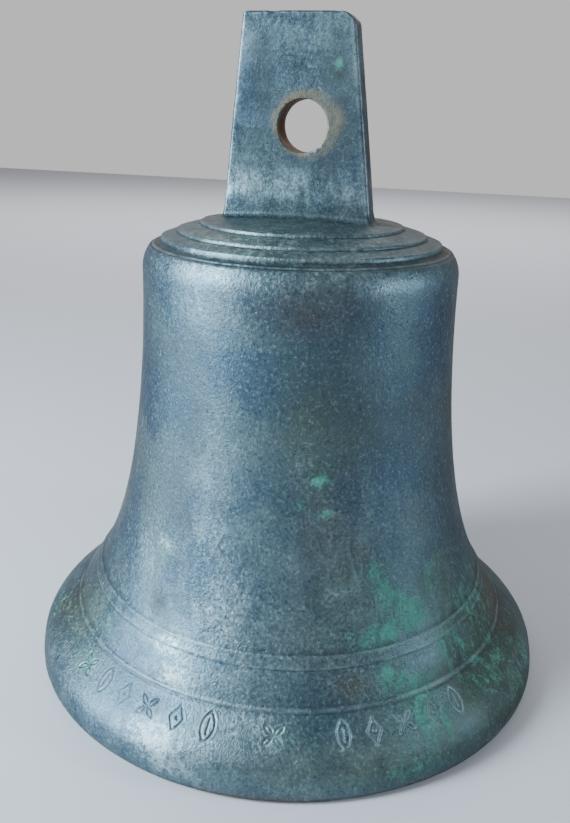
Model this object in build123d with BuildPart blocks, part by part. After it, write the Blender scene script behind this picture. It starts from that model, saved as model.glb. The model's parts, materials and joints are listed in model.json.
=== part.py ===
"""Cast bronze ship bell with a flat hanging tang, and the iron clapper that hangs inside it.

Millimetres. The origin is the centre of the lip's resting ring, +Z is up the bell's axis, and the
bolt hole through the tang runs along Y. The clapper swings in the XZ plane.
"""

from build123d import *

import os
from math import cos, radians, sin

os.makedirs("parts", exist_ok=True)

# ---- bell: lip and sound bow ----
lip_radius = 120.0  # widest, just above the lip's edge
lip_round = 3.2
foot_inner_radius = 112.0  # the flat ring that the bell stands on
ridge = (116.4, 15.8)  # soft corner between the lip's edge and the sloping band
ridge_round = 7.0
bead_point = (101.8, 28.7)  # thin raised line above the band
bead_half_width = 0.9
bead_height = 0.6

# ---- bell: waist ----
waist_foot = (91.0, 45.6)
waist_foot_lean = 28.9  # degrees from vertical
waist_foot_pull = 43.1
waist_top = (68.2, 182.5)
waist_top_pull = 28.5
moulding_width = 4.3  # low flat moulding below the waist
moulding_height = 0.5

# ---- bell: shoulder and crown ----
shoulder_end = (64.7, 192.2)
cove_middle = (62.3, 193.2)
crown_steps = [  # foot radius, foot height, lift of the edge
    (60.2, 194.3, 1.2),
    (53.6, 197.5, 1.2),
    (43.9, 200.9, 1.0),
]
crown_flat_radius = 36.0  # the tang stands on this
crown_top = 203.6

# ---- bell: inside ----
inner_throat = (97.0, 25.0)  # where the sound bow runs into the wall
inner_throat_bulge = (12.0, 1.0)  # how far along, and how far into the hollow, that run bends
inner_waist_foot = (84.0, 45.0)
inner_foot_lean = 30.0
inner_foot_pull = 40.0
inner_waist_top = (61.6, 177.0)
inner_top_pull = 30.0
inner_shoulder_round = 16.0
boss_radius = 14.0
inner_crown = 193.0
boss_face = 188.0

# ---- tang ----
tang_top_z = 283.4
tang_foot_middle = -1.9  # the plate stands a little to one side of the axis, and leans
tang_top_middle = -3.4
tang_foot_width = 65.0
tang_top_width = 46.0
tang_thickness = 11.0
tang_edge_round = 1.3
cut_corner = 4.5
square_corner_round = 1.5
hole_radius = 10.5
hole_z = 240.8

# ---- clevis and its fixings ----
shank_radius = 5.0  # M10
fit_clearance = 0.05  # all round, wherever one round piece goes into another
shank_depth = 12.5  # into the boss
tapped_depth = 13.0
washer_radius = 10.5
washer_thickness = 1.6
nut_flats = 17.0
nut_thickness = 6.0
nut_edge = 0.8
pivot_z = 163.5
ear_radius = 8.5
ear_thickness = 5.0
ear_gap = 9.0
bridge_top = 179.0
bridge_thickness = 5.0
fork_edge = 0.6

# ---- pivot pin ----
pin_radius = 4.0
pin_head_radius = 6.5
pin_head_thickness = 3.0
pin_end_y = 16.0
pin_edge = 0.6
pin_washer_radius = 7.5
pin_washer_thickness = 1.4
split_pin_y = 12.6
split_pin_radius = 1.0
split_loop_radius = 1.7  # to the middle of its wire
split_wire_radius = 0.7
split_leg_drop = 5.2  # below the pin's middle, where the legs part
split_leg_reach = 3.6

# ---- clapper ----
eye_radius = 8.5
eye_thickness = 8.0
rod_top_radius = 4.0
rod_foot_radius = 5.4
collar_radius = 7.6
collar_thickness = 4.0
tip_radius = 4.0  # M8, right through the ball
tip_depth = 5.0  # into the lanyard eye
ball_z = 35.0
ball_radius = 17.0
ball_flat = 15.0  # from the middle of the ball to each of its two flats
lanyard_neck_radius = 5.6
lanyard_eye_radius = 6.4
lanyard_hole_radius = 3.2
lanyard_eye_thickness = 6.4
lanyard_eye_z = 9.4
lanyard_neck_foot = 14.0  # where the neck runs into the ring


def unit(start, end):
    """The direction from start to end."""
    length = ((end[0] - start[0]) ** 2 + (end[1] - start[1]) ** 2) ** 0.5
    return ((end[0] - start[0]) / length, (end[1] - start[1]) / length)


def beside(start, direction, along, out):
    """The point that lies `along` the direction from start, and `out` to the right of it."""
    return (start[0] + along * direction[0] + out * direction[1],
            start[1] + along * direction[1] - out * direction[0])


def export(part, label):
    """Names a finished piece and writes it to its own file."""
    part.label = label
    export_step(part, f"parts/{label}.step")
    print(f"{label}: {len(part.solids())} solid, {part.volume / 1000:.2f} cm3")


# ---- the hanging tang, a tapering plate that stands on the crown's flat top and is cast with it ----
with BuildPart() as hanging_tang:
    with BuildSketch(Plane.XZ) as plate_outline:
        with BuildLine():
            Polyline((tang_foot_middle - tang_foot_width / 2, crown_top),
                     (tang_foot_middle + tang_foot_width / 2, crown_top),
                     (tang_top_middle + tang_top_width / 2, tang_top_z),
                     (tang_top_middle - tang_top_width / 2, tang_top_z), close=True)
        make_face()
        top_corners = plate_outline.vertices().group_by(Axis.Y)[-1].sort_by(Axis.X)
        chamfer(top_corners[-1], cut_corner)
        fillet(top_corners[0], square_corner_round)
    extrude(amount=tang_thickness / 2, both=True)
    long_edges = hanging_tang.faces().filter_by(Axis.Y).edges()
    fillet(long_edges.filter_by(lambda edge: edge.center().Z > crown_top + 1), tang_edge_round)
    with BuildSketch(Plane.XZ) as bolt_hole:
        with Locations((0, hole_z)):
            Circle(hole_radius)
    extrude(amount=tang_thickness, both=True, mode=Mode.SUBTRACT)
export(hanging_tang.part, "hanging_tang")

# ---- the bell itself: crown, waist and sound bow ----
flare = unit(bead_point, waist_foot)  # up the outside, from the bead to the waist
slope = unit(ridge, bead_point)
bead_low = beside(bead_point, slope, -bead_half_width, 0)
bead_crest = beside(bead_point, flare, 0, bead_height)
bead_high = beside(bead_point, flare, bead_half_width, 0)
moulding_low = beside(waist_foot, flare, -moulding_width, 0)
moulding_low_edge = beside(waist_foot, flare, -moulding_width + moulding_height, moulding_height)
moulding_high_edge = beside(waist_foot, flare, -moulding_height, moulding_height)
waist_lean = radians(waist_foot_lean)
waist_low_handle = (waist_foot[0] - waist_foot_pull * sin(waist_lean),
                    waist_foot[1] + waist_foot_pull * cos(waist_lean))
waist_high_handle = (waist_top[0], waist_top[1] - waist_top_pull)
inner_lean = radians(inner_foot_lean)
inner_low_handle = (inner_waist_foot[0] - inner_foot_pull * sin(inner_lean),
                    inner_waist_foot[1] + inner_foot_pull * cos(inner_lean))
inner_high_handle = (inner_waist_top[0], inner_waist_top[1] - inner_top_pull)
inner_shoulder_end = (inner_waist_top[0] - inner_shoulder_round, inner_crown)
inner_throat_middle = beside(inner_waist_foot, unit(inner_waist_foot, inner_throat),
                             inner_throat_bulge[0], -inner_throat_bulge[1])

with BuildPart() as bell_casting:
    with BuildSketch(Plane.XZ) as section:
        with BuildLine():
            # lip and sound bow, outside
            Line((foot_inner_radius, 0), (lip_radius - lip_round, 0))
            RadiusArc((lip_radius - lip_round, 0), (lip_radius, lip_round), -lip_round)
            TangentArc((lip_radius, lip_round), ridge, tangent=(0, 1))
            Line(ridge, bead_low)
            ThreePointArc(bead_low, bead_crest, bead_high)
            Polyline(bead_high, moulding_low, moulding_low_edge, moulding_high_edge, waist_foot)
            # waist and shoulder, outside
            Bezier(waist_foot, waist_low_handle, waist_high_handle, waist_top)
            TangentArc(waist_top, shoulder_end, tangent=(0, 1))
            ThreePointArc(shoulder_end, cove_middle, crown_steps[0][:2])
            # crown, each step a short edge and a gently rising top
            for number, (foot_r, foot_z, lift) in enumerate(crown_steps):
                last = number == len(crown_steps) - 1
                inner = (crown_flat_radius, crown_top) if last else crown_steps[number + 1][:2]
                Polyline((foot_r, foot_z), (foot_r - lift / 2, foot_z + lift), inner)
            # inside, from the boss down to the lip
            Polyline((crown_flat_radius, crown_top), (0, crown_top), (0, boss_face),
                     (boss_radius, boss_face), (boss_radius, inner_crown), inner_shoulder_end)
            TangentArc(inner_waist_top, inner_shoulder_end, tangent=(0, 1))
            Bezier(inner_waist_foot, inner_low_handle, inner_high_handle, inner_waist_top)
            ThreePointArc(inner_waist_foot, inner_throat_middle, inner_throat)
            Line(inner_throat, (foot_inner_radius, 0))
        make_face()
        ridge_corner = section.vertices().sort_by_distance(Vector(*ridge, 0))[0]
        fillet(ridge_corner, ridge_round)
    revolve(axis=Axis.Z)
    # the tapped hole, up into the boss
    with BuildSketch(Plane.XY.offset(boss_face)):
        Circle(shank_radius + fit_clearance)
    extrude(amount=tapped_depth, mode=Mode.SUBTRACT)
export(bell_casting.part, "bell_casting")

# ---- clevis: a fork on a threaded shank ----
fork_half_width = ear_gap / 2 + ear_thickness
bridge_foot = bridge_top - bridge_thickness
with BuildPart() as clapper_clevis:
    with BuildSketch(Plane.XZ) as fork_outline:
        with Locations((0, pivot_z)):
            Circle(ear_radius)
        with Locations((0, (pivot_z + bridge_top) / 2)):
            Rectangle(2 * ear_radius, bridge_top - pivot_z)
    extrude(amount=fork_half_width, both=True)
    chamfer(clapper_clevis.faces().filter_by(Axis.Y).edges(), fork_edge)
    with BuildSketch(Plane.XZ) as fork_slot:
        with Locations((0, bridge_foot - 2 * ear_radius)):
            Rectangle(4 * ear_radius, 4 * ear_radius)
    extrude(amount=ear_gap / 2, both=True, mode=Mode.SUBTRACT)
    with BuildSketch(Plane.XZ) as ear_holes:
        with Locations((0, pivot_z)):
            Circle(pin_radius + fit_clearance)
    extrude(amount=2 * fork_half_width, both=True, mode=Mode.SUBTRACT)
    with BuildSketch(Plane.XY.offset(bridge_top)):
        Circle(shank_radius)
    extrude(amount=boss_face + shank_depth - bridge_top)
    chamfer(clapper_clevis.edges().filter_by(GeomType.CIRCLE).sort_by(Axis.Z)[-1], pin_edge)
export(clapper_clevis.part, "clapper_clevis")

with BuildPart() as clevis_washer:
    with BuildSketch(Plane.XY.offset(boss_face - washer_thickness)):
        Circle(washer_radius)
        Circle(shank_radius + 6 * fit_clearance, mode=Mode.SUBTRACT)
    extrude(amount=washer_thickness)
export(clevis_washer.part, "clevis_washer")

nut_base = boss_face - washer_thickness - nut_thickness
nut_reach = nut_flats / 2 + 2 * nut_edge
with BuildPart() as clevis_lock_nut:
    with BuildSketch(Plane.XY.offset(nut_base)):
        RegularPolygon(nut_flats / 2, 6, major_radius=False)
    extrude(amount=nut_thickness)
    # corners turned off top and bottom, as on a machined nut
    with BuildSketch(Plane.XZ) as nut_envelope:
        with BuildLine():
            Polyline((0, nut_base), (nut_flats / 2, nut_base), (nut_reach, nut_base + nut_edge),
                     (nut_reach, nut_base + nut_thickness - nut_edge),
                     (nut_flats / 2, nut_base + nut_thickness), (0, nut_base + nut_thickness), close=True)
        make_face()
    revolve(axis=Axis.Z, mode=Mode.INTERSECT)
    with BuildSketch(Plane.XY.offset(nut_base)):
        Circle(shank_radius + fit_clearance)
    extrude(amount=nut_thickness, mode=Mode.SUBTRACT)
export(clevis_lock_nut.part, "clevis_lock_nut")

# ---- pivot pin, its head on the -Y side ----
with BuildPart() as pivot_pin:
    with BuildSketch(Plane.XZ.offset(fork_half_width)) as pin_head:
        with Locations((0, pivot_z)):
            Circle(pin_head_radius)
    extrude(amount=pin_head_thickness)
    with BuildSketch(Plane.XZ.offset(fork_half_width)) as pin_stem:
        with Locations((0, pivot_z)):
            Circle(pin_radius)
    extrude(amount=-(fork_half_width + pin_end_y))
    chamfer(pivot_pin.edges().filter_by(GeomType.CIRCLE).group_by(Axis.Y)[0], pin_edge)
    chamfer(pivot_pin.edges().filter_by(GeomType.CIRCLE).group_by(Axis.Y)[-1], pin_edge)
    with BuildSketch(Plane.XY.offset(pivot_z)):
        with Locations((0, split_pin_y)):
            Circle(split_pin_radius + fit_clearance)
    extrude(amount=2 * pin_radius, both=True, mode=Mode.SUBTRACT)
export(pivot_pin.part, "pivot_pin")

with BuildPart() as pin_washer:
    with BuildSketch(Plane.XZ.offset(-fork_half_width)):
        with Locations((0, pivot_z)):
            Circle(pin_washer_radius)
            Circle(pin_radius + 4 * fit_clearance, mode=Mode.SUBTRACT)
    extrude(amount=-pin_washer_thickness)
export(pin_washer.part, "pin_washer")

# ---- split pin: a loop above the pivot pin, and two legs turned apart below it ----
loop_z = pivot_z + pin_radius + split_loop_radius + 2 * split_wire_radius
legs_z = pivot_z - split_leg_drop
with BuildPart() as split_pin:
    with BuildSketch(Plane.XY.offset(legs_z)):
        with Locations((0, split_pin_y)):
            Circle(split_pin_radius)
    extrude(amount=loop_z - split_loop_radius - legs_z)
    with BuildSketch(Plane.XZ.offset(-split_pin_y)) as loop_section:
        with Locations((0, loop_z)):
            Circle(split_loop_radius + split_wire_radius)
            Circle(split_loop_radius - split_wire_radius, mode=Mode.SUBTRACT)
    extrude(amount=split_wire_radius, both=True)
    for side in (-1, 1):
        with BuildSketch(Plane.XZ.offset(-split_pin_y)) as leg:
            with BuildLine():
                Polyline((0, legs_z), (side * split_leg_reach, legs_z - split_leg_reach / 2),
                         (side * split_leg_reach, legs_z - split_leg_reach / 2 + 2 * split_wire_radius),
                         (0, legs_z + 2 * split_wire_radius), close=True)
            make_face()
        extrude(amount=split_wire_radius, both=True)
export(split_pin.part, "split_pin")

# ---- clapper: a forged rod with an eye at its top and a threaded tip ----
ball_top = ball_z + ball_flat
ball_foot = ball_z - ball_flat
with BuildPart() as clapper_shaft:
    with BuildSketch(Plane.XZ) as rod_section:
        with BuildLine():
            Polyline((0, pivot_z), (rod_top_radius, pivot_z),
                     (rod_foot_radius, ball_top + 2 * collar_thickness),
                     (collar_radius, ball_top + collar_thickness), (collar_radius, ball_top),
                     (tip_radius, ball_top), (tip_radius, ball_foot - tip_depth),
                     (0, ball_foot - tip_depth), close=True)
        make_face()
    revolve(axis=Axis.Z)
    with BuildSketch(Plane.XZ) as eye_outline:
        with Locations((0, pivot_z)):
            Circle(eye_radius)
    extrude(amount=eye_thickness / 2, both=True)
    with BuildSketch(Plane.XZ) as eye_hole:
        with Locations((0, pivot_z)):
            Circle(pin_radius + fit_clearance)
    extrude(amount=eye_thickness, both=True, mode=Mode.SUBTRACT)
export(clapper_shaft.part, "clapper_shaft")

with BuildPart() as clapper_ball:
    with BuildSketch(Plane.XZ) as ball_section:
        with Locations((0, ball_z)):
            Circle(ball_radius)
            Rectangle(2 * ball_radius, 2 * ball_flat, mode=Mode.INTERSECT)
        with Locations((-ball_radius, ball_z)):
            Rectangle(2 * ball_radius, 3 * ball_radius, mode=Mode.SUBTRACT)
    revolve(axis=Axis.Z)
    with BuildSketch(Plane.XY.offset(ball_foot)):
        Circle(tip_radius + fit_clearance)
    extrude(amount=2 * ball_flat, mode=Mode.SUBTRACT)
export(clapper_ball.part, "clapper_ball")

# ---- lanyard eye, a round nut with a ring under it, that locks the ball on ----
with BuildPart() as lanyard_eye:
    with BuildSketch(Plane.XY.offset(lanyard_neck_foot)):
        Circle(lanyard_neck_radius)
    extrude(amount=ball_foot - lanyard_neck_foot)
    with BuildSketch(Plane.XZ) as ring_outline:
        with Locations((0, lanyard_eye_z)):
            Circle(lanyard_eye_radius)
    extrude(amount=lanyard_eye_thickness / 2, both=True)
    with BuildSketch(Plane.XZ) as ring_hole:
        with Locations((0, lanyard_eye_z)):
            Circle(lanyard_hole_radius)
    extrude(amount=2 * lanyard_eye_thickness, both=True, mode=Mode.SUBTRACT)
    with BuildSketch(Plane.XY.offset(ball_foot)):
        Circle(tip_radius + fit_clearance)
    extrude(amount=-(tip_depth + 2 * fit_clearance), mode=Mode.SUBTRACT)
export(lanyard_eye.part, "lanyard_eye")
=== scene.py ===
import json
import math

import bmesh
import bpy
import numpy as np
from mathutils import Matrix, Vector, noise


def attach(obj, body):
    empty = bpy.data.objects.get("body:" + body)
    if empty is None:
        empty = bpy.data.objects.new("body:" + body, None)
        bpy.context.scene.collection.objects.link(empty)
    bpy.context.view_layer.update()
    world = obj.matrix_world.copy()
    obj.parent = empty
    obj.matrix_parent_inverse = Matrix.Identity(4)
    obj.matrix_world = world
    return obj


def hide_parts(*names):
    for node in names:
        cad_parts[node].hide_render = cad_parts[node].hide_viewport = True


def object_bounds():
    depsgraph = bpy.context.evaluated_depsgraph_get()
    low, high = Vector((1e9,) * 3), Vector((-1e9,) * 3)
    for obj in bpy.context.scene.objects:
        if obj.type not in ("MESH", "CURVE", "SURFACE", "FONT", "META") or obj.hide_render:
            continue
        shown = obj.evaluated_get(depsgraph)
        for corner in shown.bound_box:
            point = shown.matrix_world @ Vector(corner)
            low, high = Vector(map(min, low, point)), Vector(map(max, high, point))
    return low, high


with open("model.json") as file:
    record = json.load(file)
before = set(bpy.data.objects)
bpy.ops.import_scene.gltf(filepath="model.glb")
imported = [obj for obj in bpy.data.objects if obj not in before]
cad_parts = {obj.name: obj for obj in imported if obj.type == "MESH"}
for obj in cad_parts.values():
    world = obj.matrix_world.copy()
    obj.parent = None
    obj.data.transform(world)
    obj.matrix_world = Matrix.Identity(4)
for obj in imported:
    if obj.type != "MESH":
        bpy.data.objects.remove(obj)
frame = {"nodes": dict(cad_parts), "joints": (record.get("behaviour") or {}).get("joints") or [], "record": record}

# An old ship bell that stands on its lip. Lengths in the dictionaries are millimetres, angles are
# degrees, and headings run anticlockwise from +X as seen from above.

mm = 0.001
mounts = {mount["name"]: mount for mount in frame["record"]["mounts"]}
joints = {joint["name"]: joint for joint in frame["joints"]}
cadLow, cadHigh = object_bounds()
facing = -74.7  # heading of the bell's show side


# Camera, lights and floor.

cameraSettings = {
    "heading": facing,
    "distance": 360.5,  # from the bell's axis
    "height": 242.9,
    "tiltDown": 20.1,
    "panLeft": 0.73,
    "roll": 1.885,
    "lens": 35.87,
    "sensor": 36.0,
    "shiftUp": 0.0104,
}


def placeOnCircle(heading, distance, height):
    angle = math.radians(heading)
    return Vector((distance * math.cos(angle), distance * math.sin(angle), height)) * mm


def makeCamera(settings):
    data = bpy.data.cameras.new("camera")
    data.sensor_width = settings["sensor"]
    data.lens = settings["lens"]
    data.shift_y = settings["shiftUp"]
    data.clip_start = 0.01
    camera = bpy.data.objects.new("camera", data)
    camera.location = placeOnCircle(settings["heading"], settings["distance"], settings["height"])
    turn = settings["heading"] + 90 + settings["panLeft"]
    camera.matrix_world = (
        Matrix.Translation(camera.location)
        @ Matrix.Rotation(math.radians(turn), 4, "Z")
        @ Matrix.Rotation(math.radians(90 - settings["tiltDown"]), 4, "X")
        @ Matrix.Rotation(math.radians(settings["roll"]), 4, "Z")
    )
    bpy.context.scene.collection.objects.link(camera)
    bpy.context.scene.camera = camera


lamps = {
    # heading, distance and height, distance and height of what it aims at, width, length, watts, colour
    "windowLight": (facing - 68, (880, 500), (0, 110), 270, 800, 31.5, (0.73, 0.89, 1.0)),
    "sideLight": (facing + 74, (820, 310), (0, 110), 110, 180, 3.6, (0.70, 0.86, 1.0)),
    "frontFill": (facing - 8, (1200, 700), (0, 110), 700, 500, 0.8, (1.0, 0.97, 0.94)),
    "floorWash": (facing + 180, (1700, 1000), (1750, 0), 2600, 1100, 28.0, (0.96, 0.97, 1.0)),
}

roomColour = (0.84, 0.84, 0.86, 1)
roomLight = {"From Min": 0.0, "From Max": 0.85, "To Min": 0.30, "To Max": 0.78}


def makeLights(settings):
    for name, (heading, place, aimPlace, width, length, watts, colour) in settings.items():
        data = bpy.data.lights.new(name, "AREA")
        data.shape = "RECTANGLE"
        data.size = width * mm
        data.size_y = length * mm
        data.energy = watts
        data.color = colour
        lamp = bpy.data.objects.new(name, data)
        lamp.location = placeOnCircle(heading, *place)
        aim = placeOnCircle(heading, *aimPlace) - lamp.location
        lamp.rotation_euler = aim.to_track_quat("-Z", "Y").to_euler()
        bpy.context.scene.collection.objects.link(lamp)
    # the room is pale behind the bell and dim on the side it is seen from
    world = bpy.data.worlds.new("paleRoom")
    world.use_nodes = True
    nodes, links = world.node_tree.nodes, world.node_tree.links
    background = nodes["Background"]
    background.inputs["Color"].default_value = roomColour
    place = nodes.new("ShaderNodeTexCoord")
    backward = nodes.new("ShaderNodeVectorMath")
    backward.operation = "DOT_PRODUCT"
    backward.inputs[1].default_value = -placeOnCircle(facing, 1 / mm, 0)
    strength = nodes.new("ShaderNodeMapRange")
    for name, value in roomLight.items():
        strength.inputs[name].default_value = value
    links.new(place.outputs["Generated"], backward.inputs[0])
    links.new(backward.outputs["Value"], strength.inputs["Value"])
    links.new(strength.outputs["Result"], background.inputs["Strength"])
    bpy.context.scene.world = world


floorSettings = {
    "halfSize": 3000,
    "colour": (0.54, 0.54, 0.57, 1),
    "roughness": 0.65,
}


def makeFloor(settings):
    mesh = bpy.data.meshes.new("floor")
    reach = settings["halfSize"] * mm
    corners = [(-reach, -reach, 0), (reach, -reach, 0), (reach, reach, 0), (-reach, reach, 0)]
    mesh.from_pydata(corners, [], [(0, 1, 2, 3)])
    floor = bpy.data.objects.new("floor", mesh)
    bpy.context.scene.collection.objects.link(floor)
    material = bpy.data.materials.new("paleFloor")
    material.use_nodes = True
    shader = material.node_tree.nodes["Principled BSDF"]
    shader.inputs["Base Color"].default_value = settings["colour"]
    shader.inputs["Roughness"].default_value = settings["roughness"]
    mesh.materials.append(material)


makeCamera(cameraSettings)
makeLights(lamps)
makeFloor(floorSettings)
print("stage: camera, lights and floor are in place")


# Small helpers for curves and meshes.

def straight(start, end, count):
    steps = np.linspace(0, 1, count + 1)[1:]
    return [tuple(np.add(start, np.subtract(end, start) * t)) for t in steps]


def curve(first, second, third, last, count):
    points = []
    for t in np.linspace(0, 1, count + 1)[1:]:
        u = 1 - t
        weights = (u ** 3, 3 * u * u * t, 3 * u * t * t, t ** 3)
        points.append(tuple(np.dot(weights, (first, second, third, last))))
    return points


def quarter(start, corner, end, count):  # a round corner between two points
    pull = 0.5523
    return curve(start, np.add(start, np.subtract(corner, start) * pull),
                 np.add(end, np.subtract(corner, end) * pull), end, count)


def rollOver(start, end, count):  # an arc that leaves start straight up and finishes at end
    inward, rise = start[0] - end[0], end[1] - start[1]
    radius = (inward ** 2 + rise ** 2) / (2 * inward)
    sweep = math.atan2(rise, radius - inward)
    return [(start[0] - radius + radius * math.cos(sweep * t), start[1] + radius * math.sin(sweep * t))
            for t in np.linspace(0, 1, count + 1)[1:]]


def along(start, heading, distance):
    return (start[0] + distance * math.cos(math.radians(heading)),
            start[1] + distance * math.sin(math.radians(heading)))


def headingOf(start, end):
    return math.degrees(math.atan2(end[1] - start[1], end[0] - start[0]))


def smoothStep(low, high, value):
    t = np.clip((value - low) / (high - low), 0, 1)
    return t * t * (3 - 2 * t)


def bumpy(points, size, octaves=3, seed=0.0):  # fractal noise at many places, about -1 to 1
    shift = Vector((seed * 17.3, seed * 5.1, -seed * 9.7))
    return np.array([noise.fractal(Vector(p) / size + shift, 1.0, 2.0, octaves) for p in points])


def readPoints(mesh):
    points = np.empty(len(mesh.vertices) * 3)
    mesh.vertices.foreach_get("co", points)
    return points.reshape(-1, 3) / mm


def readNormals(mesh):
    normals = np.empty(len(mesh.vertices) * 3)
    mesh.vertices.foreach_get("normal", normals)
    return normals.reshape(-1, 3)


def fromShowSide(points):  # headings counted from the show side, -180 to 180
    return (np.degrees(np.arctan2(points[:, 1], points[:, 0])) - facing + 180) % 360 - 180


def writePoints(mesh, points):
    mesh.vertices.foreach_set("co", (points * mm).ravel())
    mesh.update()


def writeMask(mesh, name, values):
    mask = mesh.attributes.get(name) or mesh.attributes.new(name, "FLOAT", "POINT")
    mask.data.foreach_set("value", np.asarray(values, np.float32))


def readMask(mesh, name):
    values = np.zeros(len(mesh.vertices), np.float32)
    mesh.attributes[name].data.foreach_get("value", values)
    return values


def addObject(name, mesh):
    thing = bpy.data.objects.new(name, mesh)
    bpy.context.scene.collection.objects.link(thing)
    mesh.shade_smooth()
    return thing


def applyModifiers(thing):
    graph = bpy.context.evaluated_depsgraph_get()
    finished = bpy.data.meshes.new_from_object(thing.evaluated_get(graph))
    thing.modifiers.clear()
    thing.data = finished
    return finished


def combine(thing, mesh, operation):
    tool = addObject("tool", mesh)
    boolean = thing.modifiers.new("combine", "BOOLEAN")
    boolean.operation = operation
    boolean.solver = "EXACT"
    boolean.object = tool
    applyModifiers(thing)
    bpy.data.objects.remove(tool)


# The bell: casting and tang as one mesh.

bell = {
    "columns": 264,
    # outside, from the lip up
    "lipRadius": cadHigh.x / mm,
    "footInner": 112.0,
    "lipRound": 3.2,
    "lipTop": (118.86, 10.5),
    "ridgeCorner": (116.4, 15.8),
    "bandFoot": (112.5, 19.25),
    "lowBead": (101.8, 28.7),
    "beadHalfWidth": 0.95,
    "beadHeight": 0.42,
    "waistFoot": (91.0, 45.6),
    "mouldingWidth": 4.3,
    "mouldingHeight": 0.24,
    # distance up the slope, share of the height, wear
    "mouldingShape": (
        (-0.1, 0, 0), (0.3, 0.35, 0.2), (0.6, 0.85, 0.9), (0.95, 1.1, 1.0), (1.5, 0.9, 0.3), (2.6, 0.6, 0),
        (3.6, 0.65, 0), (4.3, 0.9, 0.3), (4.7, 1.2, 0.9), (5.1, 1.1, 0.8), (5.45, 0.55, 0.2), (5.8, 0, 0),
    ),
    "waistPulls": ((70.2, 83.3), (68.2, 154.0)),
    "waistTop": (68.2, 182.5),
    "shoulderEnd": (64.9, 191.9),
    # crown: foot and edge of each step
    "steps": (
        ((60.5, 193.9), (59.9, 195.5)),
        ((53.7, 197.3), (53.1, 198.5)),
        ((43.9, 200.7), (43.3, 201.9)),
    ),
    "domeTop": 203.6,
    "domeEdge": (43.3, 201.9),
    # inside, from the crown down
    "boreRadius": 5.05,
    "boreTop": 201.0,
    "bossRadius": 14.0,
    "bossFace": 188.0,
    "innerCrown": 193.0,
    "innerShoulder": (45.6, 61.6, 177.0),
    "innerWaist": ((61.6, 147.0), (64.0, 79.6), (84.0, 45.0)),
    "innerThroat": (97.0, 25.0),
    # cast surface
    "waviness": 0.16,
    "dimples": 0.035,
    "fineGrain": 0.018,
    "dentDepth": 1.1,
}

tang = {
    "footMiddle": -1.9,  # it stands a little to one side, and leans
    "topMiddle": -3.4,
    "footHalfWidth": 32.5,
    "topHalfWidth": 23.0,
    "top": cadHigh.z / mm,
    "halfThickness": 5.5,
    "edgeRound": 1.3,
    "cutCorner": 3.6,
    "squareCorner": 1.6,
    "footFillet": 2.6,
    "rows": 46,
    "holeHeight": mounts["suspension_hole"]["pos_m"][2] / mm,
    "holeRadius": mounts["suspension_hole"]["dims"]["r_mm"],
    "holeEdge": 0.3,
    # x, z, spread sideways and up, strength
    "dullPatches": (
        (-16.0, 254.0, 8.0, 16.0, 0.9), (15.0, 250.0, 7.0, 26.0, 0.9), (4.0, 226.0, 12.0, 5.0, 0.7),
        (-22.0, 222.0, 5.0, 12.0, 0.6), (0.0, 272.0, 30.0, 5.0, 0.35), (20.0, 212.0, 6.0, 8.0, 0.6),
    ),
    "greenSpeck": (14.0, 264.5, 1.8, 1.8, 1.7),
    # height, spread, strength, size of the noise that breaks it, its seed
    "paleBands": ((216.0, 7.5, 1.1, 12, 8), (276.0, 9.0, 0.4, 11, 4)),
}


class Rows:  # rings of the lathe-like skin, each with its masks
    def __init__(self):
        self.rings = []

    def add(self, points, raised=0.0, worn=0.0, hollow=0.0):
        for point in points:
            self.rings.append({"at": point, "raised": raised, "worn": worn, "hollow": hollow})


def addRaisedLine(rows, middle, heading, halfWidth, count=8):
    for t in np.linspace(-1, 1, count + 1):
        shape = math.cos(t * math.pi / 2) ** 2
        rows.add([along(middle, heading, t * halfWidth * 1.5)], shape, shape,
                 0.5 * (1 - shape) if abs(t) > 0.5 else 0)


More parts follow.
